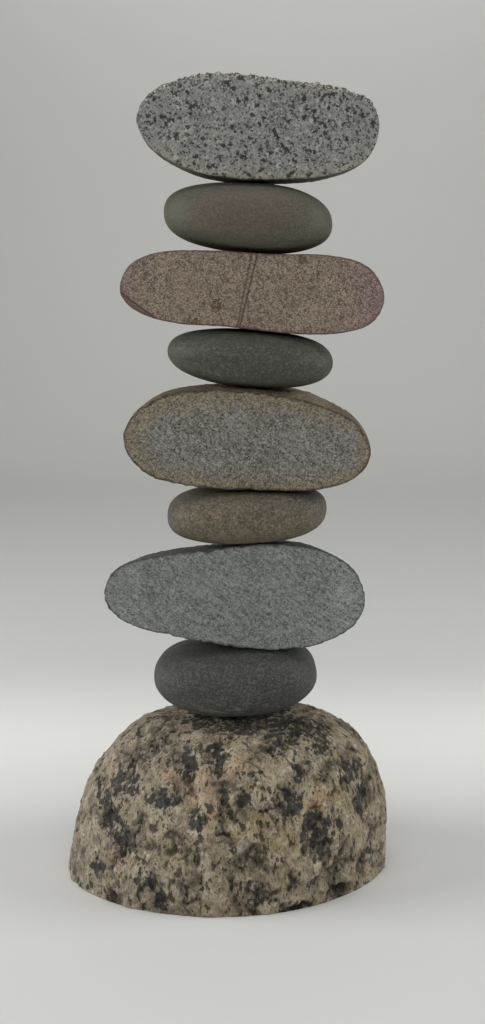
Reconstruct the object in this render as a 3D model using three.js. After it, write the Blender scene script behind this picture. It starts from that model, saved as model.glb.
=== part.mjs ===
import * as THREE from 'three';

// Stone cairn: nine stones piled on the flat sawn foot of a half boulder.
// Millimetres, +Z up, the origin is the middle of the foot.

const GAP = 0.3; // clearance between one stone and the next

const BOULDER = {
  name: 'base_boulder',
  colour: '#a2937b',
  halfWidth: 82.8,
  halfDepth: 64,
  height: 83,
  lean: 6, // how far the crown sits to the right of the foot
  crownSlope: 0.02, // rise of the crown to the right
  footTwist: 0.07, // foot fuller at the left front and right back
  lump: 1.5,
  // radius and height of the side as shares of the half width and the height
  profile: [
    [1, 0], [1, 0.1], [0.98, 0.3], [0.93, 0.5], [0.86, 0.68],
    [0.745, 0.84], [0.57, 0.95], [0.35, 1.0], [0.15, 1.0],
  ],
};

// Pebbles: half sizes, squareness of the upper and lower half, slope of the long axis to the right
const PEBBLES = {
  dark_pebble: {
    colour: '#5f605c',
    half: [41.3, 33, 18],
    square: [3.2, 2.3],
    slope: 0.02,
    lump: 0.8,
    seed: 1,
    x: 3.7,
  },
  brown_pebble: {
    colour: '#7f7763',
    half: [40.5, 30, 13.6],
    square: [3, 2.7],
    slope: 0.04,
    lump: 0.5,
    seed: 2,
    x: 9.2,
  },
  green_pebble: {
    colour: '#5e6156',
    half: [40, 30, 14.1],
    square: [2.8, 2.1],
    slope: -0.07,
    lump: 0.6,
    seed: 3,
    x: 11.5,
  },
  olive_pebble: {
    colour: '#77725d',
    half: [41.5, 31, 16.4],
    square: [2.4, 2.7],
    slope: -0.06,
    lump: 0.6,
    seed: 4,
    x: 10,
  },
};

// Slices: outline of the sawn front face around its own middle, clockwise from the left end.
// The back face is the same outline moved by `back` and scaled by `backScale`.
const SLICES = {
  blue_grey_slice: {
    colour: '#8b918e',
    thickness: 40,
    x: 3.5,
    swell: 0,
    back: [0, -2.5],
    backScale: 0.9,
    outline: [
      [-65, 2], [-60, 13.5], [-46, 19.5], [-15, 24], [18, 27], [42.5, 24], [58.5, 14.8], [65, -1],
      [60, -13.5], [43, -23.5], [21, -27], [-5, -24.5], [-32, -19.5], [-54, -13], [-63.5, -4.5],
    ],
  },
  rinded_slice: {
    colour: '#86827a',
    thickness: 40,
    x: 9.5,
    swell: 0.5,
    back: [1.5, 0],
    backScale: 1,
    crest: { x: 26, half: 22, rise: 2.5 }, // bulge of the upper rim towards the back
    outline: [
      [-60.5, 1], [-55, 12.5], [-42, 21], [-20, 24.5], [8, 23], [35, 17], [53, 8.5],
      [60.5, -6], [54, -18], [38, -24], [6, -25], [-25, -23], [-45, -19], [-57, -9],
    ],
  },
  red_slice: {
    colour: '#8c7a6d',
    thickness: 40,
    x: 12,
    swell: 0,
    back: [0, 0],
    backScale: 0.99,
    outline: [
      [-63.5, -0.5], [-60, 11], [-47, 18], [-20, 19.5], [10, 17.5], [38, 17], [56.8, 10.5],
      [63.5, -2.5], [58, -14.5], [42, -20], [12, -19.5], [-15, -16.5], [-41, -14.5], [-58, -8],
    ],
  },
  speckled_slice: {
    colour: '#95938c',
    thickness: 40,
    x: 14.5,
    swell: 0.7,
    back: [0, 0],
    backScale: 0.97,
    outline: [
      [-57, 4], [-52.5, 13], [-41, 20], [-18, 24], [10, 21], [37, 17.2], [53, 11],
      [57, -1], [52, -14.5], [33, -22.5], [5, -24.5], [-20, -23], [-39, -17], [-53, -7],
    ],
  },
};

const ORDER = [
  'dark_pebble', 'blue_grey_slice', 'brown_pebble', 'rinded_slice',
  'green_pebble', 'red_slice', 'olive_pebble', 'speckled_slice',
];

// Broad, shallow swellings of a worn stone, between -1 and 1
function swelling(x, y, z, seed) {
  const a = Math.sin(0.045 * x + 0.03 * y + 1.7 * seed);
  const b = Math.sin(0.06 * y - 0.035 * z + 2.9 * seed);
  const c = Math.sin(0.07 * z + 0.05 * x + 4.1 * seed);
  return (a + b + c) / 3;
}

// Moves every corner of a geometry with a function of its position
function reshape(geometry, move) {
  const position = geometry.attributes.position;
  const point = new THREE.Vector3();
  for (let i = 0; i < position.count; i += 1) {
    point.fromBufferAttribute(position, i);
    move(point);
    position.setXYZ(i, point.x, point.y, point.z);
  }
  geometry.computeVertexNormals();
  return geometry;
}

function stone(name, colour, geometry) {
  const material = new THREE.MeshStandardMaterial({ color: colour, roughness: 0.7, metalness: 0 });
  material.name = `${name}_stone`;
  const mesh = new THREE.Mesh(geometry, material);
  mesh.name = name;
  return mesh;
}

// Half boulder: a turned dome squeezed to an oval plan, flat underneath
function makeBoulder(spec) {
  const knots = spec.profile.map(([r, z]) => new THREE.Vector2(r, z));
  const side = new THREE.SplineCurve(knots).getPoints(15);
  const outline = [new THREE.Vector2(0, 0), ...side, new THREE.Vector2(0, 1)];
  const geometry = new THREE.LatheGeometry(outline, 60);
  geometry.rotateX(Math.PI / 2);
  reshape(geometry, (p) => {
    const rise = THREE.MathUtils.smoothstep(p.z, 0, 1);
    const push = 1 + (spec.lump / spec.halfWidth) * swelling(p.x * 90, p.y * 90, p.z * 90, 5);
    const twist = 1 + spec.footTwist * p.x * p.y * (1 - rise);
    p.z *= spec.height;
    p.x = p.x * spec.halfWidth * push * twist + spec.lean * rise;
    p.y *= spec.halfDepth * push * twist;
    p.z += spec.crownSlope * p.x * rise;
  });
  geometry.computeBoundingBox();
  const box = geometry.boundingBox;
  geometry.translate(-(box.min.x + box.max.x) / 2, -(box.min.y + box.max.y) / 2, -box.min.z);
  return stone(spec.name, spec.colour, geometry);
}

// Whole pebble: a ball with squared shoulders, its long axis slightly sloped
function makePebble(name, spec) {
  const geometry = new THREE.SphereGeometry(1, 28, 14);
  geometry.rotateX(Math.PI / 2);
  const [halfX, halfY, halfZ] = spec.half;
  reshape(geometry, (p) => {
    const power = p.z > 0 ? spec.square[0] : spec.square[1];
    const sum = Math.abs(p.x) ** power + Math.abs(p.y) ** power + Math.abs(p.z) ** power;
    p.multiplyScalar(sum ** (-1 / power));
    p.set(p.x * halfX, p.y * halfY, p.z * halfZ);
    p.multiplyScalar(1 + (spec.lump / halfZ) * swelling(2 * p.x, 2 * p.y, 2 * p.z, spec.seed));
    p.z += spec.slope * p.x;
  });
  return stone(name, spec.colour, geometry);
}

// Sawn slice: flat front and back, a swollen natural rim between them
function makeSlice(name, spec) {
  const knots = spec.outline.map(([x, z]) => new THREE.Vector3(x, z, 0));
  const rim = new THREE.CatmullRomCurve3(knots, true, 'centripetal').getPoints(56);
  rim.pop();
  const shape = new THREE.Shape(rim.map((p) => new THREE.Vector2(p.x, p.y)));
  const geometry = new THREE.ExtrudeGeometry(shape, {
    depth: spec.thickness,
    steps: 7,
    bevelEnabled: false,
  });
  geometry.translate(0, 0, -spec.thickness / 2);
  geometry.rotateX(Math.PI / 2);
  reshape(geometry, (p) => {
    const depth = p.y / spec.thickness + 0.5;
    const belly = spec.swell * 4 * depth * (1 - depth);
    const reach = Math.hypot(p.x, p.z);
    const grow = (1 + belly / Math.max(reach, 1)) * THREE.MathUtils.lerp(1, spec.backScale, depth);
    p.x = p.x * grow + spec.back[0] * depth;
    p.z = p.z * grow + spec.back[1] * depth;
    if (spec.crest && p.z > 0) {
      const off = Math.min(Math.abs(p.x - spec.crest.x) / spec.crest.half, 1);
      p.z += spec.crest.rise * depth * (1 - off * off) ** 2;
    }
  });
  return stone(name, spec.colour, geometry);
}

// Shortest upright distance from the corners of one stone to the skin of the other
function clearance(from, to, direction) {
  const caster = new THREE.Raycaster();
  const position = from.geometry.attributes.position;
  const start = new THREE.Vector3();
  let nearest = Infinity;
  for (let i = 0; i < position.count; i += 1) {
    start.fromBufferAttribute(position, i);
    caster.set(start, direction);
    const hit = caster.intersectObject(to)[0];
    nearest = hit ? Math.min(nearest, hit.distance) : nearest;
  }
  return nearest;
}

// Lifts a stone well clear, then lowers it until only the gap is left
function restOn(upper, lower, x) {
  upper.geometry.translate(x, 0, 600);
  const down = clearance(upper, lower, new THREE.Vector3(0, 0, -1));
  const up = clearance(lower, upper, new THREE.Vector3(0, 0, 1));
  upper.geometry.translate(0, 0, GAP - Math.min(down, up));
}

const group = new THREE.Group();
group.name = 'stone_cairn';
let below = makeBoulder(BOULDER);
group.add(below);
for (const name of ORDER) {
  const spec = PEBBLES[name] ?? SLICES[name];
  const make = name in PEBBLES ? makePebble : makeSlice;
  const upper = make(name, spec);
  restOn(upper, below, spec.x);
  group.add(upper);
  below = upper;
}

export default group;
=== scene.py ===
import math

import bmesh
import bpy
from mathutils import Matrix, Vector, kdtree, noise


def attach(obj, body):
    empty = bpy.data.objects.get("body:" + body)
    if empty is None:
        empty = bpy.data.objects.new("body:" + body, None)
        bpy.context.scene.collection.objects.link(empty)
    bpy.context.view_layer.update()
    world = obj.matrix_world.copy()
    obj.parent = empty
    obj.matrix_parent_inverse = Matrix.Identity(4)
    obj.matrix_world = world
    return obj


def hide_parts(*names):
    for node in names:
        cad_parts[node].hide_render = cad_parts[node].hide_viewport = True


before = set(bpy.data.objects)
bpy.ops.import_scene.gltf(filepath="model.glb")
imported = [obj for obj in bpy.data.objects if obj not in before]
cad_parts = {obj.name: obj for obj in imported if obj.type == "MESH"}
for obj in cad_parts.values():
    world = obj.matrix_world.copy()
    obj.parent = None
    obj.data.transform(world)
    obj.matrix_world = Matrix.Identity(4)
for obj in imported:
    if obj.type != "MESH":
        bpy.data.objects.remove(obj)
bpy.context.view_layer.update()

# Stone cairn: a half boulder, river pebbles and sawn slices piled in a tower.
# Shape numbers are in millimetres, Blender's own are in metres.
mm = 0.001

# place in mm, the look down in degrees
camera = {"aside": 7.3, "back": 675, "height": 297.8, "lookDown": 9.31, "lens": 47.6, "sensor": 36}

# soft boxes around the pile, in metres
lights = {
    "ceiling": {"at": (0.0, -0.1, 1.4), "aim": (0.0, 0.0, 0.0), "size": (0.9, 0.5), "watts": 4.7},
    "behind": {"at": (0.0, 0.4, 1.5), "aim": (0.0, 0.0, 0.2), "size": (1.6, 0.6), "watts": 3.0},
    "left": {"at": (-1.3, -0.1, 0.62), "aim": (0.0, 0.0, 0.2), "size": (0.8, 0.7), "watts": 10.8},
    "right": {"at": (1.3, -0.05, 0.68), "aim": (0.0, 0.0, 0.2), "size": (0.8, 0.7), "watts": 7.6},
    "front": {"at": (0.0, -1.5, 0.85), "aim": (0.0, 0.0, 0.2), "size": (1.6, 0.4), "watts": 8.4},
    "wall": {"at": (0.3, 1.35, 1.5), "aim": (0.4, 2.0, 1.0), "size": (2.0, 0.3), "watts": 6.0},
    # a narrow strip of light on the floor behind the pile
    "floor": {
        "at": (0.0, 0.21, 1.0), "aim": (0.0, 0.21, 0.0), "size": (2.4, 0.06), "watts": 0.27,
        "spread": 20,
    },
}
air = {"glow": 0.01, "colour": (1.0, 0.995, 0.98, 1)}

cameraData = bpy.data.cameras.new("camera")
cameraData.lens = camera["lens"]
cameraData.sensor_width = camera["sensor"]
cameraData.clip_start = 10 * mm
cameraObject = bpy.data.objects.new("camera", cameraData)
cameraObject.location = (camera["aside"] * mm, -camera["back"] * mm, camera["height"] * mm)
cameraObject.rotation_euler = (math.radians(90 - camera["lookDown"]), 0, 0)
bpy.context.collection.objects.link(cameraObject)
bpy.context.scene.camera = cameraObject

for name, lamp in lights.items():
    lampData = bpy.data.lights.new(name, "AREA")
    lampData.shape = "RECTANGLE"
    lampData.size, lampData.size_y = lamp["size"]
    lampData.energy = lamp["watts"]
    lampData.spread = math.radians(lamp.get("spread", 180))
    lampObject = bpy.data.objects.new(name, lampData)
    lampObject.location = lamp["at"]
    aim = Vector(lamp["aim"]) - Vector(lamp["at"])
    lampObject.rotation_euler = aim.to_track_quat("-Z", "Y").to_euler()
    bpy.context.collection.objects.link(lampObject)

world = bpy.data.worlds.new("studio")
world.use_nodes = True
background = world.node_tree.nodes["Background"].inputs
background["Color"].default_value = air["colour"]
background["Strength"].default_value = air["glow"]
bpy.context.scene.world = world
bpy.context.scene.view_settings.view_transform = "Standard"
print(f"camera and {len(lights)} lights are set")


# "rrggbb" as a colour for a socket
def tint(hexText):
    channels = [int(hexText[i:i + 2], 16) / 255 for i in (0, 2, 4)]
    return [c / 12.92 if c < 0.04045 else ((c + 0.055) / 1.055) ** 2.4 for c in channels] + [1]


# a value is set on its socket, an output is linked to it
def feed(tree, made, sockets):
    for key, value in sockets.items():
        if isinstance(value, bpy.types.NodeSocket):
            tree.links.new(value, made.inputs[key])
        else:
            made.inputs[key].default_value = value


def addNode(tree, kind, sockets=None, **settings):
    made = tree.nodes.new(kind)
    made.location = (200 * len(tree.nodes), 0)
    for key, value in settings.items():
        setattr(made, key, value)
    feed(tree, made, sockets or {})
    return made


def maths(tree, operation, a, b=0.0, clamp=False):
    return addNode(tree, "ShaderNodeMath", {0: a, 1: b}, operation=operation, use_clamp=clamp).outputs[0]


def vectorMaths(tree, operation, sockets):
    return addNode(tree, "ShaderNodeVectorMath", sockets, operation=operation).outputs


def scaled(tree, mask, amount):
    return maths(tree, "MULTIPLY", mask, amount)


# a value around 0.5 becomes one around 0
def aroundZero(tree, value):
    return maths(tree, "SUBTRACT", value, 0.5)


# 0 at low, 1 at high, easing in and out
def ease(tree, value, low, high):
    sockets = {0: value, 1: low, 2: high}
    return addNode(tree, "ShaderNodeMapRange", sockets, interpolation_type="SMOOTHSTEP").outputs[0]


def blendColour(tree, mask, below, above):
    return addNode(tree, "ShaderNodeMix", {0: mask, 6: below, 7: above}, data_type="RGBA").outputs[2]


# lays a colour over another where the mask says, by this amount at most
def stain(tree, colour, mask, amount, hexText):
    return blendColour(tree, scaled(tree, mask, amount), colour, tint(hexText))


def mapped(tree, point, **sockets):
    return addNode(tree, "ShaderNodeMapping", {"Vector": point, **sockets}).outputs[0]


# cloudy noise, size in mm
def cloudOf(tree, point, size, detail, roughness):
    scale = maths(tree, "DIVIDE", 1000, size)
    sockets = {"Vector": point, "Scale": scale, "Detail": detail, "Roughness": roughness}
    return addNode(tree, "ShaderNodeTexNoise", sockets).outputs["Fac"]


# draws a value away from 0.5 and keeps it between 0 and 1
def contrasted(tree, value, contrast):
    return maths(tree, "ADD", maths(tree, "MULTIPLY", aroundZero(tree, value), contrast), 0.5, True)


floatKind, vectorKind = "NodeSocketFloat", "NodeSocketVector"


# every group takes a Vector, named numbers with their usual values, and puts out these masks
def newGroup(name, outputs, **numbers):
    group = bpy.data.node_groups.new(name, "ShaderNodeTree")
    group.interface.new_socket("Vector", in_out="INPUT", socket_type=vectorKind)
    for label, value in numbers.items():
        socket = group.interface.new_socket(label, in_out="INPUT", socket_type=floatKind)
        socket.default_value = value
    for label in outputs:
        group.interface.new_socket(label, in_out="OUTPUT", socket_type=floatKind)
    return group, addNode(group, "NodeGroupInput").outputs, addNode(group, "NodeGroupOutput").inputs


# crystals: every cell has its own Tone between 0 and 1, Size in mm
def makeCrystals():
    group, given, out = newGroup("crystals", ("Tone", "Second"), Size=2, Ragged=0.5)
    scale = maths(group, "DIVIDE", 1000, given["Size"])
    place = vectorMaths(group, "SCALE", {0: given["Vector"], "Scale": scale})[0]
    wobbleSockets = {"Vector": place, "Scale": 1.7, "Detail": 3.0, "Roughness": 0.6}
    wobble = addNode(group, "ShaderNodeTexNoise", wobbleSockets).outputs["Color"]
    centred = vectorMaths(group, "SUBTRACT", {0: wobble, 1: (0.5, 0.5, 0.5)})[0]
    pushed = vectorMaths(group, "SCALE", {0: centred, "Scale": given["Ragged"]})[0]
    moved = vectorMaths(group, "ADD", {0: place, 1: pushed})[0]
    cells = addNode(group, "ShaderNodeTexVoronoi", {"Vector": moved, "Scale": 1.0}).outputs["Color"]
    parts = addNode(group, "ShaderNodeSeparateColor", {0: cells}).outputs
    group.links.new(parts[0], out["Tone"])
    group.links.new(parts[1], out["Second"])
    return group


# flecks: ragged spots of another mineral, Size in mm, a higher Level leaves fewer
def makeFlecks():
    group, given, out = newGroup("flecks", ("Mask",), Size=2, Level=0.56, Soft=0.04)
    cloud = cloudOf(group, given["Vector"], given["Size"], 4.0, 0.62)
    over = maths(group, "SUBTRACT", cloud, given["Level"])
    group.links.new(maths(group, "DIVIDE", over, given["Soft"], True), out["Mask"])
    return group


# mottle: soft cloudy change, Size in mm, 0.5 in the middle
def makeMottle():
    group, given, out = newGroup("mottle", ("Value",), Size=5, Detail=4, Contrast=1.5)
    cloud = cloudOf(group, given["Vector"], given["Size"], given["Detail"], 0.6)
    group.links.new(contrasted(group, cloud, given["Contrast"]), out["Value"])
    return group


# streaks: fine lines across a sawn face, Angle in degrees from level
def makeStreaks():
    group, given, out = newGroup("streaks", ("Value",), Angle=40, Size=1, Contrast=1.5)
    turn = {"Vector": given["Vector"], "Angle": maths(group, "RADIANS", given["Angle"])}
    turned = addNode(group, "ShaderNodeVectorRotate", turn, rotation_type="Y_AXIS").outputs[0]
    drawn = vectorMaths(group, "MULTIPLY", {0: turned, 1: (0.16, 1, 1)})[0]
    lines = cloudOf(group, drawn, given["Size"], 3.0, 0.65)
    group.links.new(contrasted(group, lines, given["Contrast"]), out["Value"])
    return group


# rim wear: 1 on the edge of a sawn face, fading inwards over Reach mm with a ragged border
def makeRimWear():
    group, given, out = newGroup("rimWear", ("Mask",), Rim=0, Reach=1, Ragged=1, Size=3)
    cloud = cloudOf(group, given["Vector"], given["Size"], 4.0, 0.65)
    ragged = maths(group, "MULTIPLY", aroundZero(group, cloud), given["Ragged"])
    reach = maths(group, "DIVIDE", given["Rim"], given["Reach"])
    edge = maths(group, "ADD", reach, ragged)
    group.links.new(maths(group, "SUBTRACT", 1.0, edge, True), out["Mask"])
    return group


crystals, flecks, mottle = makeCrystals(), makeFlecks(), makeMottle()
streaks, rimWear = makeStreaks(), makeRimWear()


def useGroup(tree, group, point, **values):
    made = addNode(tree, "ShaderNodeGroup", node_tree=group)
    feed(tree, made, {"Vector": point, **values})
    return made.outputs


def mottled(tree, point, size, contrast, detail=4.0):
    return useGroup(tree, mottle, point, Size=size, Detail=detail, Contrast=contrast)["Value"]


def flecked(tree, point, size, level, soft):
    return useGroup(tree, flecks, point, Size=size, Level=level, Soft=soft)["Mask"]


def newStone(name):
    material = bpy.data.materials.new(name)
    material.use_nodes = True
    tree = material.node_tree
    shader = tree.nodes["Principled BSDF"]
    point = addNode(tree, "ShaderNodeTexCoord").outputs["Object"]
    return material, tree, shader, point


def attribute(tree, name):
    return addNode(tree, "ShaderNodeAttribute", attribute_name=name).outputs["Fac"]


# 1 in the middle of an oval, across and up in mm, falling to 0 on its border
def oval(tree, point, across, up, halfWide, halfHigh):
    through = 10  # metres, so that depth makes no difference
    place = {"Location": (across * mm, 0, up * mm), "Scale": (halfWide * mm, through, halfHigh * mm)}
    sockets = {"Vector": point, **place}
    centred = addNode(tree, "ShaderNodeMapping", sockets, vector_type="TEXTURE").outputs[0]
    length = vectorMaths(tree, "LENGTH", {0: centred})["Value"]
    return maths(tree, "SUBTRACT", 1.0, length, True)


# 1 along a crack that runs straight through the stone
def crackLine(tree, point, across, up, slope, halfWidth, wander=0.4):
    parts = addNode(tree, "ShaderNodeSeparateXYZ", {0: point}).outputs
    leaning = maths(tree, "MULTIPLY", maths(tree, "SUBTRACT", parts[2], up * mm), slope)
    off = maths(tree, "SUBTRACT", maths(tree, "SUBTRACT", parts[0], across * mm), leaning)
    drifted = mottled(tree, point, 4.0, 2 * wander * mm)
    off = maths(tree, "ABSOLUTE", maths(tree, "ADD", off, aroundZero(tree, drifted)))
    return maths(tree, "SUBTRACT", 1.0, maths(tree, "DIVIDE", off, halfWidth * mm), True)


# salt and pepper of two crystal sizes, 0.5 on average, size in mm
def grainOf(tree, point, size, clumped=0.28):
    small = useGroup(tree, crystals, point, Size=size, Ragged=0.8)["Tone"]
    large = useGroup(tree, crystals, point, Size=size * 2.1, Ragged=1.3)["Second"]
    return maths(tree, "ADD", scaled(tree, small, 1 - clumped), scaled(tree, large, clumped))


# depth of the relief in mm
def finishStone(tree, shader, colour, roughness, height, depth):
    tree.links.new(colour, shader.inputs["Base Color"])
    tree.links.new(roughness, shader.inputs["Roughness"])
    bump = addNode(tree, "ShaderNodeBump", {"Strength": 0.8, "Distance": depth * mm, "Height": height})
    tree.links.new(bump.outputs[0], shader.inputs["Normal"])


print("node groups are ready")


# a sheet of paper under the pile that rolls up into a wall on every side, in metres
paper = {
    "toSide": 2.9, "toBack": 1.4, "toFront": 2.6, "radius": 0.573, "wall": 2.0,
    "colours": ("d9d9d6", "dededb"), "roughness": 0.9, "gloss": 0.2,
}


# where the paper stands and how high it is, this far out along it
def rolledUp(out, flat):
    bend = paper["radius"] * math.pi / 2
    turn = min(max((out - flat) / bend, 0), 1) * math.pi / 2
    place = min(out, flat) + paper["radius"] * math.sin(turn)
    return place, paper["radius"] * (1 - math.cos(turn)) + max(out - flat - bend, 0)


def makeSweep():
    bm = bmesh.new()
    bmesh.ops.create_grid(bm, x_segments=80, y_segments=80, size=1)
    rise = paper["radius"] * math.pi / 2 + paper["wall"]
    for vert in bm.verts:
        flat = paper["toBack"] if vert.co.y > 0 else paper["toFront"]
        aside, sideHigh = rolledUp(abs(vert.co.x) * (paper["toSide"] + rise), paper["toSide"])
        along, endHigh = rolledUp(abs(vert.co.y) * (flat + rise), flat)
        vert.co.x = math.copysign(aside, vert.co.x)
        vert.co.y = math.copysign(along, vert.co.y)
        vert.co.z = max(sideHigh, endHigh)
    mesh = bpy.data.meshes.new("sweep")
    bm.to_mesh(mesh)
    bm.free()
    mesh.shade_smooth()
    sweep = bpy.data.objects.new("sweep", mesh)
    bpy.context.collection.objects.link(sweep)
    material, tree, shader, point = newStone("palePaper")
    shade = mottled(tree, point, 60.0, 0.4)
    below, above = (tint(hexText) for hexText in paper["colours"])
    tree.links.new(blendColour(tree, shade, below, above), shader.inputs["Base Color"])
    shader.inputs["Roughness"].default_value = paper["roughness"]
    shader.inputs["Specular IOR Level"].default_value = paper["gloss"]
    mesh.materials.append(material)
    print("paper sweep is laid")


makeSweep()


# smooth noise between -1 and 1, size in mm
def drift(point, size, seed=0.0):
    return noise.noise(Vector((point.x / size + seed, point.y / size - seed, point.z / size + 2 * seed)))


def drift3(point, size, seeds):
    return Vector([drift(point, size, seed) for seed in seeds])


# 0 at low, 1 at high, easing in and out
def fade(value, low, high):
    t = min(max((value - low) / (high - low), 0.0), 1.0)
    return t * t * (3 - 2 * t)


# how a blank is made from a CAD stone: lengths in mm, angles in radians
blank = {"merge": 0.01, "flat": 0.7, "square": 1.4, "sharp": 0.9, "step": 0.4, "rounding": 3}


# copies a CAD stone, rounds its facets and gives it one even skin of small quads
def blankOf(node, voxel):
    bm = bmesh.new()
    bm.from_mesh(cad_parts[node].data)
    bmesh.ops.remove_doubles(bm, verts=bm.verts, dist=blank["merge"] * mm)
    bmesh.ops.join_triangles(
        bm, faces=bm.faces, angle_face_threshold=blank["flat"], angle_shape_threshold=blank["square"])
    crease = bm.edges.layers.float.new("crease_edge")
    sharp = []
    for edge in bm.edges:
        if edge.is_manifold and edge.calc_face_angle() > blank["sharp"]:
            edge[crease] = 1.0
            a, b = edge.verts[0].co / mm, edge.verts[1].co / mm
            steps = max(int((b - a).length / blank["step"]), 1)
            sharp += [a.lerp(b, i / steps) for i in range(steps)]
    rough = bpy.data.meshes.new("blank")
    bm.to_mesh(rough)
    bm.free()
    holder = bpy.data.objects.new("blank", rough)
    bpy.context.collection.objects.link(holder)
    rounding = holder.modifiers.new("rounding", "SUBSURF")
    rounding.levels = rounding.render_levels = blank["rounding"]
    skin = holder.modifiers.new("skin", "REMESH")
    skin.mode = "VOXEL"
    skin.voxel_size = voxel * mm
    evaluated = holder.evaluated_get(bpy.context.evaluated_depsgraph_get())
    even = bpy.data.meshes.new_from_object(evaluated)
    bpy.data.objects.remove(holder)
    return even, sharp


# the cut edges of a slice, to find the nearest place on them
def rimOf(sharp):
    rim = kdtree.KDTree(len(sharp))
    for i, place in enumerate(sharp):
        rim.insert(place, i)
    rim.balance()
    return rim


# moves every point by shape(), which also gives the values the material reads
def carve(mesh, shape, names, smoothing):
    bm = bmesh.new()
    bm.from_mesh(mesh)
    for _ in range(smoothing):
        bmesh.ops.smooth_vert(
            bm, verts=bm.verts, factor=0.5, use_axis_x=True, use_axis_y=True, use_axis_z=True)
    bm.normal_update()
    layers = [bm.verts.layers.float.new(name) for name in names]
    moved = []
    for vert in bm.verts:
        place, values = shape(vert.co / mm, vert.normal)
        moved.append(place * mm)
        for layer, value in zip(layers, values):
            vert[layer] = value
    for vert, place in zip(bm.verts, moved):
        vert.co = place
    bm.to_mesh(mesh)
    bm.free()
    mesh.shade_smooth()


def setOut(node, name, mesh, material):
    mesh.name = node
    mesh.materials.clear()
    mesh.materials.append(material)
    piece = bpy.data.objects.new(name, mesh)
    bpy.context.collection.objects.link(piece)
    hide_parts(node)
    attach(piece, "root")
    print(f"{name}: {len(mesh.polygons)} faces")


# the half boulder, coarse granite broken into plates and eaten by weather
boulder = {
    "voxel": 0.88,
    "lumps": 1.3, "lumpSize": 24,
    "knobs": 0.8, "knobSize": 7,
    "plates": 0.8, "plateSize": 8.5,
    "flakes": 0.3, "flakeSize": 3.4,  # smaller plates on the large ones
    "crevice": 1.1,  # depth between the plates
    "grit": 0.3, "gritSize": 2.4,
    "pits": 1.1, "pitSize": 3.4,
    "micaDip": 0.6,
    "crumble": 3.5,  # how much the lower edge has lost
    # patches on the front: across, up, half width, half height
    "micaAndShade": [
        (-51, 56, 7, 6), (-47, 64, 3, 4), (-62, 47, 5, 5), (-32, 53, 8, 4), (-59, 40, 6, 5),
        (-52, 33, 4, 7), (-40, 16, 6, 4), (-20, 71, 5, 6), (-5, 74, 6, 5), (-4, 67, 2, 4),
        (-2, 57, 3, 6), (-15, 46, 4, 6), (27, 83, 10, 4), (38, 80, 7, 4), (24, 77, 5, 3),
        (61, 61, 5, 6), (67, 46, 3, 10), (33, 66, 3, 4), (31, 52, 6, 7), (41, 40, 6, 8),
        (52, 41, 4, 5), (45, 29, 5, 5), (-47, 75, 3, 2), (10, 16, 6, 2), (15, 7, 2, 4),
        (73, 17, 2, 8), (-33, 7, 2, 6), (-66, 15, 4, 4), (47, 76, 4, 4), (8, 55, 5, 3),
        # the first two here are painted shadow under the dark pebble, the last two painted shade in the
        # hollows of the lower edge; the others are mica
        (-14, 83, 9, 2), (4, 82, 11, 2), (33, 1, 6, 3), (56, 4, 6, 3),
    ],
    "pink": [
        (-14, 61, 8, 8), (-8, 50, 5, 7), (3, 70, 6, 8), (45, 51, 9, 8), (-54, 24, 7, 5),
        (-27, 64, 8, 4), (-40, 84, 8, 4),
    ],
    "ochre": [
        (10, 45, 11, 9), (56, 50, 7, 10), (2, 80, 7, 4), (-26, 31, 8, 7), (24, 35, 9, 9),
        (-60, 62, 6, 8),
    ],
    # hollows in the lower edge: across, up, reach, depth
    "notches": [(33, 1, 6, 3.0), (57, 3, 6, 2.2), (-55, 3, 5, 2.0), (-30, 0, 5, 1.2), (14, 0, 4, 1.6)],
    # ground, patches, painted shade in the dips and painted light on the rises, then the crystals in them
    "sand": "b2a484", "earth": "87795f", "pinkStain": "c29a74", "ochreStain": "a08e5a",
    "grey": "8a8680", "dipShade": "4a3f33", "high": "d2c7b0", "leftGrey": "a1978b",
    "feldspar": "bfb4a0", "brightFeldspar": "dccfb6", "fineDark": "5b4f41", "specks": "2a211b",
    # the two mica colours also paint the shade patches listed with the mica
    "micaAndShadeDark": "090b0c", "micaAndShadePale": "504f49", "pitShade": "1b1612",
}


# 1 well inside a patch, 0 outside all of them
def patchAt(point, patches):
    most = 0.0
    for across, up, halfWide, halfHigh in patches:
        off = math.hypot((point.x - across) / halfWide, (point.z - up) / halfHigh)
        if off < 2:
            most = max(most, fade(1.7 - off, 0, 1.3))
    return most


# tilted broken plates: how high the plate stands here and how near its border is
def plateAt(point, size, seed):
    bent = drift3(point, size * 0.6, (seed, seed + 5, seed + 9))
    place = (point + bent * size * 0.5) / size + Vector((seed, seed, seed))
    apart, centres = noise.voronoi(place)
    own = centres[0] * 5.3
    tilt = Vector((noise.noise(own), noise.noise(own.yzx), noise.noise(own.zxy)))
    high = tilt.dot(place - centres[0]) * 2.2 + tilt.x * 0.8
    return high, 1 - fade(apart[1] - apart[0], 0.0, 0.24)


# patches lie on the front as listed, and wander over the sides and the back
def boulderMinerals(point, warped):
    back = fade(point.y, -15, 5)
    wild = {
        "micaAndShade": fade(drift(point, 11, 9.0) * 1.6 + drift(point, 5, 2.0) * 0.5, 0.35, 0.9),
        "pink": fade(drift(point, 16, 4.0), 0.15, 0.5),
        "ochre": fade(drift(point, 20, 8.0), 0.1, 0.5),
    }
    return [max(patchAt(warped, boulder[kind]) * (1 - back), wild[kind] * back) for kind in wild]


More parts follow.
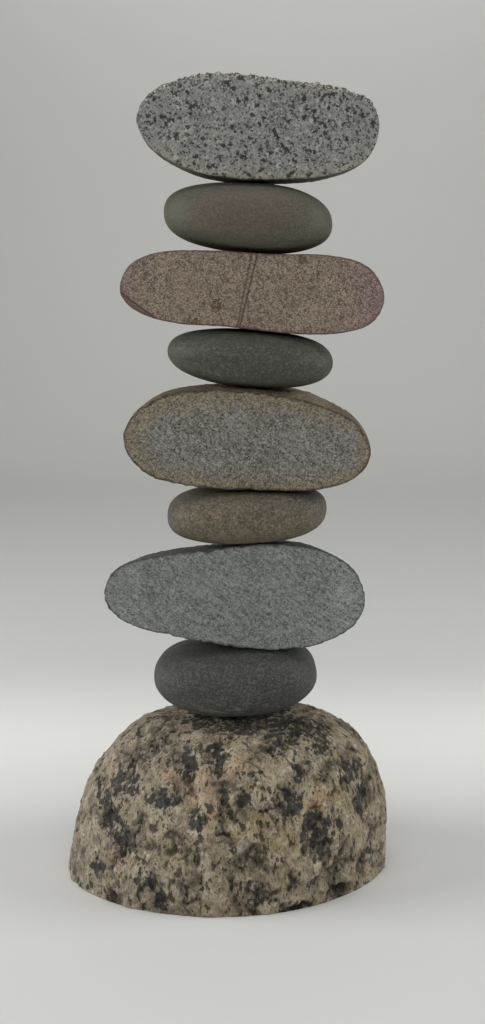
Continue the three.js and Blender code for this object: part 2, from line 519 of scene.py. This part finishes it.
def shapeBoulder(point, normal):
    warped = point + drift3(point, 5, (3.0, 5.0, 7.0)) * 3.5
    micaAndShade, pink, ochre = boulderMinerals(point, warped)
    # cracks stand more upright towards the right end
    upright = 0.7 - 0.3 * fade(point.x, 40, 58)
    drawn = Vector((point.x + 0.25 * point.z, point.y, point.z * upright))
    plate, border = plateAt(drawn, boulder["plateSize"], 2.0)
    flake, flakeBorder = plateAt(drawn, boulder["flakeSize"], 4.0)
    # pits: some of the cells have one
    apart, centres = noise.voronoi(drawn / boulder["pitSize"])
    sort = noise.noise(centres[0] * 4.7)
    pit = 0.0
    if sort > -0.15:
        pit = max(0.0, 1 - (apart[0] + 0.1 * drift(point, 1.2, 3.0)) / (0.3 + 0.25 * sort))
    # broken ground comes in clusters, with smoother pale ground between
    broken = fade(drift(point, 13, 15.0) + 0.5 * drift(point, 5, 12.0), -0.1, 0.4)
    pit *= 0.15 + 0.85 * broken
    crevice = max(border, 0.4 * flakeBorder) * broken
    # the ends are worn smoother than the broad faces
    worn = 0.5 + 0.5 * fade(abs(normal.y), 0.1, 0.45)
    knob = boulder["knobs"] * drift(point, boulder["knobSize"], 2.5)
    push = boulder["lumps"] * drift(point, boulder["lumpSize"], 1.5) + knob
    push += worn * (boulder["plates"] * plate + boulder["flakes"] * flake * (0.5 + broken))
    push += boulder["grit"] * drift(point, boulder["gritSize"], 6.5)
    eaten = boulder["pits"] * min(pit * 1.6, 1.0) + boulder["crevice"] * crevice
    push -= worn * (eaten + boulder["micaDip"] * micaAndShade)
    # crumbled lower edge
    low = 1 - fade(point.z, 0, 8)
    push -= low * max(0.0, drift(point, 9, 11.0) + 0.1) * boulder["crumble"]
    hollow = 0.0
    for across, up, reach, depth in boulder["notches"]:
        off = math.hypot((warped.x - across) * 0.7, (warped.z - up) * 1.2) / reach
        if off < 1 and point.y < 0:
            hollow = max(hollow, depth * fade(1 - off, 0, 0.7))
    push -= hollow
    # the flat foot stays where it is
    foot, under = fade(point.z, 0.4, 2.0), fade(-normal.z, 0.6, 0.9)
    place = point + Vector((normal.x, normal.y, normal.z * foot)) * push * (1 - under)
    place.z = max(place.z, 0.0)
    relief = boulder["plates"] * plate + 1.2 * knob + boulder["flakes"] * flake
    # this value is high in the dips of the relief and on broken ground, low on its rises; the colour paints
    # shade into the dips and light onto the rises from it
    reliefShade = 0.5 - 0.45 * relief + 0.3 * (broken - 0.5)
    # the pit value also covers the crevices and the hollows of the lower edge; the colour fills them all with
    # painted shade
    return place, (micaAndShade, pink, ochre, max(pit * 1.5, crevice * 0.9, hollow * 0.35), reliefShade)


def boulderGranite():
    material, tree, shader, point = newStone("weatheredGranite")
    micaAndShade, pink = attribute(tree, "micaAndShade"), attribute(tree, "pink")
    ochre, pit, reliefShade = attribute(tree, "ochre"), attribute(tree, "pit"), attribute(tree, "reliefShade")
    upright = mapped(tree, point, Rotation=(0, 0.35, 0), Scale=(1.0, 1.0, 0.5))
    feldspar = useGroup(tree, crystals, point, Size=2.6, Ragged=1.6)
    cloud = mottled(tree, point, 20.0, 2.6)
    grey = mottled(tree, point, 8.0, 2.6)
    cluster = mottled(tree, point, 7.0, 2.8)
    fine = mottled(tree, upright, 1.5, 3.0, 3.0)
    edgeNoise = aroundZero(tree, mottled(tree, point, 4.0, 2.0, 5.0))
    pinkMask = ease(tree, maths(tree, "ADD", pink, edgeNoise), 0.3, 1.1)
    ochreMask = ease(tree, maths(tree, "ADD", ochre, edgeNoise), 0.3, 1.1)
    colour = blendColour(tree, cloud, tint(boulder["sand"]), tint(boulder["earth"]))
    colour = stain(tree, colour, pinkMask, 0.85, boulder["pinkStain"])
    colour = stain(tree, colour, ochreMask, 0.8, boulder["ochreStain"])
    colour = stain(tree, colour, ease(tree, grey, 0.55, 0.95), 0.5, boulder["grey"])
    # painted shade in the dips of the relief, painted light on its rises
    colour = stain(tree, colour, ease(tree, reliefShade, 0.45, 1.0), 0.7, boulder["dipShade"])
    colour = stain(tree, colour, ease(tree, reliefShade, 0.5, 0.0), 0.5, boulder["high"])
    across = addNode(tree, "ShaderNodeSeparateXYZ", {0: point}).outputs[0]
    colour = stain(tree, colour, ease(tree, across, 10 * mm, -50 * mm), 0.3, boulder["leftGrey"])
    colour = stain(tree, colour, feldspar["Tone"], 0.35, boulder["feldspar"])
    bright = ease(tree, feldspar["Second"], 0.7, 1.0)
    colour = stain(tree, colour, bright, 0.55, boulder["brightFeldspar"])
    colour = stain(tree, colour, ease(tree, fine, 0.5, 0.05), 0.6, boulder["fineDark"])
    # specks crowd together in clusters
    crowd = maths(tree, "SUBTRACT", 0.64, scaled(tree, cluster, 0.13))
    specks = flecked(tree, upright, 3.0, crowd, 0.05)
    smallSpecks = flecked(tree, upright, 1.5, crowd, 0.06)
    speckle = maths(tree, "MAXIMUM", specks, scaled(tree, smallSpecks, 0.85))
    colour = stain(tree, colour, speckle, 0.85, boulder["specks"])
    # mica, and the painted shade patches listed with it, with a broken border
    broken = aroundZero(tree, mottled(tree, upright, 2.6, 3.4))
    border = maths(tree, "ADD", scaled(tree, broken, 1.15), scaled(tree, edgeNoise, 0.9))
    dark = ease(tree, maths(tree, "ADD", micaAndShade, border), 0.4, 0.9)
    flake = blendColour(tree, grainOf(tree, point, 1.0), tint(boulder["micaAndShadeDark"]), tint(boulder["micaAndShadePale"]))
    colour = blendColour(tree, scaled(tree, dark, 0.95), colour, flake)
    # painted shade, near black, in the pits, the crevices and the hollows of the lower edge
    colour = stain(tree, colour, maths(tree, "MINIMUM", pit, 1.0), 0.9, boulder["pitShade"])
    relief = maths(tree, "ADD", fine, feldspar["Tone"])
    height = maths(tree, "SUBTRACT", relief, scaled(tree, speckle, 0.8))
    finishStone(tree, shader, colour, ease(tree, fine, -1.6, 1.1), height, 1.0)
    return material


mesh, _ = blankOf("base_boulder", boulder["voxel"])
carve(mesh, shapeBoulder, ("micaAndShade", "pink", "ochre", "pit", "reliefShade"), 1)
setOut("base_boulder", "baseBoulder", mesh, boulderGranite())


# the worn skin of whole river pebbles, which smoothing has shrunk a little
pebbleSkin = {"lumpSize": 22, "gritSize": 4, "shrunk": 0.15}


def shapePebble(spec):
    def shape(point, normal):
        push = spec["lumps"] * drift(point, pebbleSkin["lumpSize"], spec["seed"])
        push += spec["grit"] * drift(point, pebbleSkin["gritSize"], spec["seed"] + 3)
        return point + normal * (push + pebbleSkin["shrunk"]), ()
    return shape


# pale and dark grains of a fine stone: colour, amount and where the pale ones start
def peppered(tree, colour, fine, spec):
    hexText, amount, start = spec["paleGrain"]
    colour = stain(tree, colour, ease(tree, fine, start, 1.0), amount, hexText)
    hexText, amount = spec["darkGrain"]
    return stain(tree, colour, ease(tree, fine, 0.5, 0.0), amount, hexText)


darkPebble = {
    "voxel": 0.75, "lumps": 0.5, "grit": 0.08, "seed": 1.0,
    # the middle colour is painted shade across the middle of the front, so that the ends read lighter
    "ground": "41423e", "cloud": "4a4b46", "middle": "2b2d29",
    "specks": "777872", "scuffs": "8b8c86",
    "paleGrain": ("74756f", 0.55, 0.4), "darkGrain": ("1e1f1e", 0.6),
}


def darkBasalt():
    material, tree, shader, point = newStone("darkBasalt")
    cloud = mottled(tree, point, 8.0, 1.8)
    fine = grainOf(tree, point, 0.7)
    specks = flecked(tree, point, 1.8, 0.6, 0.08)
    lines = useGroup(tree, streaks, point, Angle=-8.0, Size=1.6, Contrast=3.0)["Value"]
    low = oval(tree, point, 6, 92, 40, 9)
    middle = ease(tree, oval(tree, point, 8, 104, 44, 20), 0.0, 0.5)
    colour = blendColour(tree, cloud, tint(darkPebble["ground"]), tint(darkPebble["cloud"]))
    # painted shade: darker across the middle of the front, so that the ends read lighter as side light makes
    # them
    colour = stain(tree, colour, middle, 0.45, darkPebble["middle"])
    colour = peppered(tree, colour, fine, darkPebble)
    colour = stain(tree, colour, specks, 0.35, darkPebble["specks"])
    scuffs = maths(tree, "MULTIPLY", low, ease(tree, lines, 0.6, 1.0))
    colour = stain(tree, colour, scuffs, 0.8, darkPebble["scuffs"])
    finishStone(tree, shader, colour, ease(tree, fine, -1.6, 1.6), fine, 0.1)
    return material


brownPebble = {
    "voxel": 0.75, "lumps": 0.4, "grit": 0.08, "seed": 2.0,
    "rim": "4a4c46", "heart": "544e40", "heartCloud": "645d4b",
    "blots": "353129", "pinkBlots": "8e7766",
    "paleGrain": ("928973", 0.62, 0.4), "darkGrain": ("2c2a23", 0.6),
}


def brownGreywacke():
    material, tree, shader, point = newStone("brownGreywacke")
    cloud = mottled(tree, point, 7.0, 2.0)
    fine = grainOf(tree, point, 0.7)
    blots = flecked(tree, point, 3.5, 0.56, 0.1)
    elsewhere = mapped(tree, point, Location=(30 * mm, 20 * mm, 50 * mm))
    pinkBlots = flecked(tree, elsewhere, 4.0, 0.58, 0.08)
    middle = oval(tree, point, 10, 186, 46, 16)
    wandering = maths(tree, "ADD", middle, scaled(tree, aroundZero(tree, cloud), 0.35))
    heart = ease(tree, wandering, 0.02, 0.3)
    brown = blendColour(tree, cloud, tint(brownPebble["heart"]), tint(brownPebble["heartCloud"]))
    colour = blendColour(tree, heart, tint(brownPebble["rim"]), brown)
    colour = stain(tree, colour, blots, 0.8, brownPebble["blots"])
    pinkInHeart = maths(tree, "MULTIPLY", pinkBlots, heart)
    colour = stain(tree, colour, pinkInHeart, 0.5, brownPebble["pinkBlots"])
    colour = peppered(tree, colour, fine, brownPebble)
    finishStone(tree, shader, colour, ease(tree, fine, -1.6, 1.6), fine, 0.1)
    return material


greenPebble = {
    "voxel": 0.75, "lumps": 0.4, "grit": 0.06, "seed": 3.0,
    # the middle colour is painted shade across the middle of the front, so that the ends read lighter
    "ground": "42443b", "cloud": "4e5045", "middle": "2f312a",
    "bands": "62665d", "specks": "878874",
    "paleGrain": ("757664", 0.5, 0.45), "darkGrain": ("20221d", 0.6),
}


def greenGreywacke():
    material, tree, shader, point = newStone("greenGreywacke")
    cloud = mottled(tree, point, 8.0, 1.6)
    fine = grainOf(tree, point, 0.7)
    specks = flecked(tree, point, 2.4, 0.6, 0.07)
    bands = useGroup(tree, streaks, point, Angle=4.0, Size=2.0, Contrast=2.0)["Value"]
    middle = ease(tree, oval(tree, point, 12, 264, 42, 15), 0.0, 0.6)
    colour = blendColour(tree, cloud, tint(greenPebble["ground"]), tint(greenPebble["cloud"]))
    # painted shade: darker across the middle of the front, so that the ends read lighter as side light makes
    # them
    colour = stain(tree, colour, middle, 0.3, greenPebble["middle"])
    colour = stain(tree, colour, ease(tree, bands, 0.5, 1.0), 0.3, greenPebble["bands"])
    colour = peppered(tree, colour, fine, greenPebble)
    colour = stain(tree, colour, specks, 0.3, greenPebble["specks"])
    finishStone(tree, shader, colour, ease(tree, fine, -1.6, 1.6), fine, 0.08)
    return material


olivePebble = {
    "voxel": 0.75, "lumps": 0.4, "grit": 0.03, "seed": 4.0,
    "rim": "4d5044", "heart": "584f42", "cloud": "605a48", "specks": "8c8672",
    "paleGrain": ("7c725f", 0.5, 0.45), "darkGrain": ("28251e", 0.5),
}


def oliveSiltstone():
    material, tree, shader, point = newStone("oliveSiltstone")
    cloud = mottled(tree, point, 8.0, 1.6)
    fine = grainOf(tree, point, 0.6)
    specks = flecked(tree, point, 1.8, 0.63, 0.06)
    middle = oval(tree, point, 9, 334, 42, 15)
    wandering = maths(tree, "ADD", middle, scaled(tree, aroundZero(tree, cloud), 0.5))
    heart = ease(tree, wandering, 0.1, 0.6)
    colour = blendColour(tree, heart, tint(olivePebble["rim"]), tint(olivePebble["heart"]))
    colour = stain(tree, colour, cloud, 0.3, olivePebble["cloud"])
    colour = peppered(tree, colour, fine, olivePebble)
    colour = stain(tree, colour, specks, 0.12, olivePebble["specks"])
    finishStone(tree, shader, colour, ease(tree, fine, -1.8, 1.8), fine, 0.05)
    return material


for spec, node, name, rock in (
    (darkPebble, "dark_pebble", "darkPebble", darkBasalt()),
    (brownPebble, "brown_pebble", "brownPebble", brownGreywacke()),
    (greenPebble, "green_pebble", "greenPebble", greenGreywacke()),
    (olivePebble, "olive_pebble", "olivePebble", oliveSiltstone()),
):
    mesh, _ = blankOf(node, spec["voxel"])
    carve(mesh, shapePebble(spec), (), 3)
    setOut(node, name, mesh, rock)


# the rough rim of the sawn slices, and the places of their front face and chips
sliceSkin = {"lumpSize": 14, "gritSize": 2.6, "front": -20, "chipReach": 2.6}


# chips and nicks taken off the cut edges of a slice
def chipOf(spec, point, near, high):
    chip = max(0.0, drift(point, spec["chipSize"], spec["seed"] + 7) + spec["chipBias"])
    chip *= spec["chips"] * (1 - fade(near, 0, sliceSkin["chipReach"]))
    chip *= 1 + spec["topWear"] * high
    for across, up, reach, depth in spec["notches"]:
        off = (point - Vector((across, sliceSkin["front"], up))).length / reach
        if off < 1:
            chip += depth * (1 - off) * (1 + 0.5 * drift(point, 1.5, 2.0))
    return chip


# sawn slices: flat faces, a rough natural rim between them, chipped where they meet
def shapeSlice(spec, rim):
    middleX, middleZ = spec["middle"]

    def shape(point, normal):
        sawn = fade(abs(normal.y), 0.8, 0.96)
        nearest, _, near = rim.find(point)
        high = fade(point.z - middleZ, 8, 14)
        grit = spec["grit"] * (1 + 2 * spec["topWear"] * high)
        push = spec["lumps"] * drift(point, sliceSkin["lumpSize"], spec["seed"])
        push += grit * drift(point, sliceSkin["gritSize"], spec["seed"] + 3)
        inward = Vector((-normal.x, 0, -normal.z))
        if near < 4:
            inward = Vector((middleX - nearest.x, 0, middleZ - nearest.z)).normalized()
        chip = chipOf(spec, point, near, high)
        place = point + normal * push * (1 - sawn)
        place += inward * chip
        place.y -= math.copysign(0.45 * chip, point.y) * sawn
        split = 0.0
        if spec["split"] and point.y < -10:
            across, up, slope = spec["split"]
            below = (up - slope * (point.x - across) - point.z) * 0.8 + 0.4 * drift(point, 3, 1.0)
            split = fade(below, -0.7, 0.7) * fade(across + 20 - point.x, 0, 3)
            place.y += split * min(max(below, 0) * 1.5, 7) * fade(-point.y, 8, 16)
        # the distance to the cut edge counts up on the sawn face and down on the rim
        return place, (near if sawn > 0.5 else -near, sawn, split)
    return shape


# 1 within reach mm on both sides of the cut edge, broken up
def edgeLine(tree, point, reach, ragged):
    rim = maths(tree, "ABSOLUTE", attribute(tree, "rim"))
    return useGroup(tree, rimWear, point, Rim=rim, Reach=reach, Ragged=ragged, Size=2.5)["Mask"]


# pale and dark clouds and saw lines over a sawn face: colours, then how strong
def weathered(tree, colour, cloud, lines, spec):
    hexText, amount = spec["paleCloud"]
    colour = stain(tree, colour, ease(tree, cloud, 0.5, 1.0), amount, hexText)
    hexText, amount = spec["darkCloud"]
    colour = stain(tree, colour, ease(tree, cloud, 0.5, 0.0), amount, hexText)
    hexText, amount = spec["darkLines"]
    colour = stain(tree, colour, ease(tree, lines, 0.55, 0.0), amount, hexText)
    hexText, amount = spec["paleLines"]
    return stain(tree, colour, ease(tree, lines, 0.6, 1.0), amount, hexText)


# notches on the edge: across, up, reach, depth
blueGreySlice = {
    "voxel": 0.6, "lumps": 0.35, "grit": 0.25, "seed": 5.0, "middle": (3.5, 147),
    "chips": 1.3, "chipSize": 2.5, "chipBias": 0.0, "topWear": 0.4,
    "notches": [(58, 160, 4, 1.8), (-10, 171, 3, 1.6), (-61, 144, 3, 0.8), (-30, 128, 3, 0.8)],
    "split": None,
    "darkCrystals": "3c403e", "paleCrystals": "a0a4a1",
    "paleCloud": ("9da19d", 0.25), "darkCloud": ("575b58", 0.25),
    "darkLines": ("444846", 0.35), "paleLines": ("a2a6a3", 0.3),
    "ends": "bcc0bc", "pale": "b2b5b0", "patch": "c4c6c2",
    "skinDark": "30312c", "skinPale": "6e6e66", "edge": "3a3b36", "nick": "2b2c29",
}


def blueGreyGreywacke():
    material, tree, shader, point = newStone("blueGreyGreywacke")
    sawn = attribute(tree, "sawn")
    grain = grainOf(tree, point, 0.65)
    cloud = mottled(tree, point, 16.0, 2.4, 3.0)
    lines = useGroup(tree, streaks, point, Angle=-38.0, Size=1.2, Contrast=3.0)["Value"]
    pale = flecked(tree, point, 2.0, 0.6, 0.05)
    ends = maths(tree, "SUBTRACT", 1.0, scaled(tree, oval(tree, point, 3, 145, 66, 42), 2.2), True)
    edge = edgeLine(tree, point, 1.6, 1.6)
    dark, light = tint(blueGreySlice["darkCrystals"]), tint(blueGreySlice["paleCrystals"])
    colour = blendColour(tree, grain, dark, light)
    colour = weathered(tree, colour, cloud, lines, blueGreySlice)
    colour = stain(tree, colour, maths(tree, "MULTIPLY", ends, grain), 0.28, blueGreySlice["ends"])
    colour = stain(tree, colour, pale, 0.4, blueGreySlice["pale"])
    # a pale bruise near the right end
    patch = maths(tree, "MULTIPLY", ease(tree, oval(tree, point, 57, 149, 8, 9), 0.0, 0.8), grain)
    colour = stain(tree, colour, patch, 0.35, blueGreySlice["patch"])
    skin = blendColour(tree, grain, tint(blueGreySlice["skinDark"]), tint(blueGreySlice["skinPale"]))
    colour = blendColour(tree, sawn, skin, colour)
    colour = stain(tree, colour, edge, 0.7, blueGreySlice["edge"])
    # a short dark nick in the upper edge
    nearby = ease(tree, oval(tree, point, -1.5, 171.5, 5, 4), 0.0, 0.3)
    nick = maths(tree, "MULTIPLY", crackLine(tree, point, -1.5, 171, -1.0, 0.9), nearby)
    colour = stain(tree, colour, nick, 0.8, blueGreySlice["nick"])
    height = maths(tree, "ADD", grain, lines)
    finishStone(tree, shader, colour, ease(tree, grain, -1.8, 1.3), height, 0.2)
    return material


rindedSlice = {
    "voxel": 0.6, "lumps": 0.35, "grit": 0.2, "seed": 6.0, "middle": (9.5, 225),
    "chips": 1.5, "chipSize": 3.0, "chipBias": 0.0, "topWear": 0.5,
    "notches": [(-51, 225, 3, 1.4), (-30, 205, 4, 1.6), (-24, 203, 3, 1.4), (10, 201, 4, 1.2)],
    "split": None,
    "darkCrystals": "121211", "paleCrystals": "aaa9a1",
    "paleCloud": ("a0a09b", 0.2), "darkCloud": ("4f4f4c", 0.2),
    "darkLines": ("3b3b39", 0.25), "paleLines": ("b0b0ab", 0.2),
    "scratches": "242422", "rindDark": "1b150f", "rindPale": "b3a68a", "rindCloud": "6f674f",
    "skinDark": "3c3326", "skinPale": "8e8067", "shoulder": "b5a78a", "edge": "2d251d",
    "rindWidth": 17.0, "rindThinning": 9.5,  # widest, and how much narrower far from there
}


def rindedGreywacke():
    material, tree, shader, point = newStone("rindedGreywacke")
    rim, sawn = attribute(tree, "rim"), attribute(tree, "sawn")
    grain = grainOf(tree, point, 0.58)
    cloud = mottled(tree, point, 12.0, 2.4, 3.0)
    lines = useGroup(tree, streaks, point, Angle=-38.0, Size=1.2, Contrast=3.0)["Value"]
    scratches = flecked(tree, point, 2.2, 0.59, 0.04)
    # the weathered rind is widest on the left and along the top
    far = maths(tree, "SUBTRACT", 1.0, oval(tree, point, -42, 262, 110, 64), True)
    thinning = scaled(tree, far, rindedSlice["rindThinning"])
    reach = maths(tree, "SUBTRACT", rindedSlice["rindWidth"], thinning)
    rind = useGroup(tree, rimWear, point, Rim=rim, Reach=reach, Ragged=1.5, Size=6.0)["Mask"]
    edge = edgeLine(tree, point, 1.6, 1.4)
    dark, light = tint(rindedSlice["darkCrystals"]), tint(rindedSlice["paleCrystals"])
    colour = blendColour(tree, grain, dark, light)
    colour = weathered(tree, colour, cloud, lines, rindedSlice)
    colour = stain(tree, colour, scratches, 0.6, rindedSlice["scratches"])
    brown = blendColour(tree, grain, tint(rindedSlice["rindDark"]), tint(rindedSlice["rindPale"]))
    brown = stain(tree, brown, cloud, 0.35, rindedSlice["rindCloud"])
    # a faint brown stain reaches further in than the rind
    twice = scaled(tree, reach, 2.0)
    faint = useGroup(tree, rimWear, point, Rim=rim, Reach=twice, Ragged=1.3, Size=12.0)["Mask"]
    colour = blendColour(tree, scaled(tree, ease(tree, faint, 0.0, 1.0), 0.4), colour, brown)
    colour = blendColour(tree, scaled(tree, ease(tree, rind, 0.0, 0.8), 0.8), colour, brown)
    skin = blendColour(tree, grain, tint(rindedSlice["skinDark"]), tint(rindedSlice["skinPale"]))
    shoulder = ease(tree, oval(tree, point, 42, 246, 18, 9), 0.0, 0.6)
    worn = maths(tree, "MULTIPLY", shoulder, grain)
    skin = stain(tree, skin, worn, 0.8, rindedSlice["shoulder"])
    colour = blendColour(tree, sawn, skin, colour)
    colour = stain(tree, colour, edge, 0.8, rindedSlice["edge"])
    height = maths(tree, "ADD", grain, lines)
    finishStone(tree, shader, colour, ease(tree, grain, -1.8, 1.3), height, 0.2)
    return material


redSlice = {
    "voxel": 0.6, "lumps": 0.3, "grit": 0.12, "seed": 7.0, "middle": (12, 298),
    "chips": 0.6, "chipSize": 2.5, "chipBias": -0.05, "topWear": 0.0,
    "notches": [],
    # a flake broken off under a line through this point (across, up), with its slope
    "split": (-49, 295, 0.71),
    # dark spots: across, up, half width, half height, amount
    "spots": [
        (-5, 290, 6, 5, 0.8), (-15, 283, 7, 3, 0.7), (36, 312, 4, 4, 0.6), (40, 299, 3, 5, 0.35),
        (-39, 303, 7, 5, 0.3),
    ],
    # cracks from top to bottom: across, up, slope, half width, wander, amount
    "cracks": [
        (15.2, 318, 0.24, 0.6, 0.2, 1.0), (12.4, 318, 0.2, 0.7, 0.2, 0.75),
        (28.6, 318, 0.0, 0.4, 0.4, 0.4),
    ],
    "sandDark": "352620", "sandPale": "b8a793", "violetDark": "3d292c", "violetPale": "b09798",
    "cloud": "7d6d5c", "marks": "392d28", "spotDark": "422f2b", "glint": "b3a5a0",
    "crackDark": "35271f", "skinDark": "4e3d39", "skinPale": "8c7670",
    # the broken flake's two colours are darkened as painted shade for its face turned downwards
    "brokenShadedDark": "422f2b", "brokenShadedPale": "6f5a53", "edge": "3b2521",
}


def redSandstone():
    material, tree, shader, point = newStone("redSandstone")
    sawn, split = attribute(tree, "sawn"), attribute(tree, "split")
    grain = grainOf(tree, point, 0.52, 0.18)
    cloud = mottled(tree, point, 12.0, 2.0, 3.0)
    tall = mapped(tree, point, Scale=(1, 1, 0.5))
    marks = flecked(tree, tall, 1.6, 0.575, 0.04)
    edge = edgeLine(tree, point, 1.3, 1.2)
    # violet towards the ends
    ends = maths(tree, "SUBTRACT", 1.0, scaled(tree, oval(tree, point, 8, 298, 66, 60), 2.6), True)
    wandering = maths(tree, "ADD", ends, scaled(tree, aroundZero(tree, cloud), 0.7))
    purple = ease(tree, wandering, 0.1, 0.9)
    sandy = blendColour(tree, grain, tint(redSlice["sandDark"]), tint(redSlice["sandPale"]))
    violet = blendColour(tree, grain, tint(redSlice["violetDark"]), tint(redSlice["violetPale"]))
    colour = blendColour(tree, scaled(tree, purple, 0.8), sandy, violet)
    colour = stain(tree, colour, cloud, 0.25, redSlice["cloud"])
    colour = stain(tree, colour, marks, 0.45, redSlice["marks"])
    for across, up, halfWide, halfHigh, amount in redSlice["spots"]:
        inside = oval(tree, point, across, up, halfWide, halfHigh)
        spot = maths(tree, "SUBTRACT", ease(tree, inside, 0.0, 0.9), grain)
        spot = maths(tree, "MULTIPLY", ease(tree, spot, -0.35, 0.45), ease(tree, inside, 0.0, 0.2))
        colour = stain(tree, colour, spot, amount, redSlice["spotDark"])
    # one pale scratch
    nearby = ease(tree, oval(tree, point, -34.6, 305, 10, 9), 0.0, 0.5)
    glint = maths(tree, "MULTIPLY", crackLine(tree, point, -34.6, 305, 1.5, 1.2, 1.5), nearby)
    colour = stain(tree, colour, glint, 0.45, redSlice["glint"])
    cracks = 0.0
    for across, up, slope, halfWidth, wander, amount in redSlice["cracks"]:
        line = crackLine(tree, point, across, up, slope, halfWidth, wander)
        cracks = maths(tree, "MAXIMUM", cracks, scaled(tree, line, amount))
    colour = stain(tree, colour, cracks, 0.8, redSlice["crackDark"])
    skin = blendColour(tree, grain, tint(redSlice["skinDark"]), tint(redSlice["skinPale"]))
    colour = blendColour(tree, sawn, skin, colour)
    # the broken face's own colour, darkened as painted shade because it turns downwards
    broken = blendColour(tree, grain, tint(redSlice["brokenShadedDark"]), tint(redSlice["brokenShadedPale"]))
    colour = blendColour(tree, scaled(tree, split, 0.85), colour, broken)
    lip = maths(tree, "MULTIPLY", ease(tree, split, 0.0, 0.35), ease(tree, split, 1.0, 0.5))
    lip = maths(tree, "MAXIMUM", lip, scaled(tree, edge, 0.6))
    colour = stain(tree, colour, lip, 0.85, redSlice["edge"])
    height = maths(tree, "SUBTRACT", grain, scaled(tree, cracks, 3.0))
    finishStone(tree, shader, colour, ease(tree, grain, -1.8, 1.3), height, 0.2)
    return material


speckledSlice = {
    "voxel": 0.6, "lumps": 0.35, "grit": 0.3, "seed": 8.0, "middle": (14.5, 374),
    "chips": 1.3, "chipSize": 1.8, "chipBias": 0.1, "topWear": 1.6,
    "notches": [(71, 369, 3, 1.2)],
    "split": None,
    "grey": "747574", "paleGrey": "90908c", "bright": "aeaea8", "white": "c2c1b8",
    "fineDark": "4a4a49", "stain": "a89f88", "flecks": "222222",
    # the natural skin colours are darker than the stone's own, as painted shade for the strip under the lower
    # edge
    "skinDark": "2e2a23", "skinPale": "6e6657", "skinFlecks": "2c2a27",
    "crustPaleAndHighlight": "d2ccba", "crustDark": "2a2825",
}


def speckledGranite():
    material, tree, shader, point = newStone("speckledGranite")
    rim, sawn = attribute(tree, "rim"), attribute(tree, "sawn")
    cells = useGroup(tree, crystals, point, Size=1.7, Ragged=1.7)
    small = useGroup(tree, crystals, point, Size=0.8, Ragged=1.1)
    tiny = useGroup(tree, crystals, point, Size=0.6, Ragged=0.8)
    white = flecked(tree, point, 3.6, 0.56, 0.1)
    crowd = scaled(tree, mottled(tree, point, 4.5, 1.8), 0.12)
    up = addNode(tree, "ShaderNodeSeparateXYZ", {0: point}).outputs[2]
    # a brown stain along the lower edge
    stained = useGroup(tree, rimWear, point, Rim=rim, Reach=5.0, Ragged=1.6, Size=6.0)["Mask"]
    stained = maths(tree, "MULTIPLY", stained, ease(tree, up, 372 * mm, 358 * mm))
    grey, paleGrey = tint(speckledSlice["grey"]), tint(speckledSlice["paleGrey"])
    colour = blendColour(tree, cells["Second"], grey, paleGrey)
    colour = stain(tree, colour, ease(tree, small["Second"], 0.2, 1.0), 0.6, speckledSlice["bright"])
    colour = stain(tree, colour, white, 0.7, speckledSlice["white"])
    colour = stain(tree, colour, ease(tree, tiny["Tone"], 0.3, 0.0), 0.45, speckledSlice["fineDark"])
    colour = stain(tree, colour, stained, 0.4, speckledSlice["stain"])
    dark = ease(tree, maths(tree, "SUBTRACT", cells["Tone"], crowd), 0.09, 0.03)
    darkSmall = ease(tree, maths(tree, "SUBTRACT", small["Tone"], crowd), 0.15, 0.05)
    dark = maths(tree, "MAXIMUM", dark, scaled(tree, darkSmall, 0.85))
    colour = stain(tree, colour, dark, 0.92, speckledSlice["flecks"])
    # the natural skin, darkened all round as painted shade for the strip under the lower edge
    skinDark, skinPale = tint(speckledSlice["skinDark"]), tint(speckledSlice["skinPale"])
    skin = blendColour(tree, small["Second"], skinDark, skinPale)
    skin = stain(tree, skin, dark, 0.8, speckledSlice["skinFlecks"])
    face = maths(tree, "MAXIMUM", sawn, ease(tree, rim, -3.0, -2.0))
    colour = blendColour(tree, face, skin, colour)
    # a crumbly crust of pale and dark grains along the upper edge; the pale grains are partly painted
    # highlight, light from above catching the rim
    crust = edgeLine(tree, point, 3.2, 2.0)
    crust = maths(tree, "MULTIPLY", crust, ease(tree, up, 375 * mm, 390 * mm))
    paleCrustAndHighlight = maths(tree, "MULTIPLY", crust, ease(tree, small["Tone"], 0.6, 0.7))
    colour = stain(tree, colour, paleCrustAndHighlight, 0.8, speckledSlice["crustPaleAndHighlight"])
    darkCrust = maths(tree, "MULTIPLY", crust, ease(tree, small["Tone"], 0.4, 0.3))
    colour = stain(tree, colour, darkCrust, 0.85, speckledSlice["crustDark"])
    height = maths(tree, "ADD", small["Second"], scaled(tree, dark, 0.4))
    finishStone(tree, shader, colour, ease(tree, small["Second"], -1.8, 1.3), height, 0.2)
    return material


for spec, node, name, rock in (
    (blueGreySlice, "blue_grey_slice", "blueGreySlice", blueGreyGreywacke()),
    (rindedSlice, "rinded_slice", "rindedSlice", rindedGreywacke()),
    (redSlice, "red_slice", "redSlice", redSandstone()),
    (speckledSlice, "speckled_slice", "speckledSlice", speckledGranite()),
):
    mesh, sharp = blankOf(node, spec["voxel"])
    carve(mesh, shapeSlice(spec, rimOf(sharp)), ("rim", "sawn", "split"), 0)
    setOut(node, name, mesh, rock)
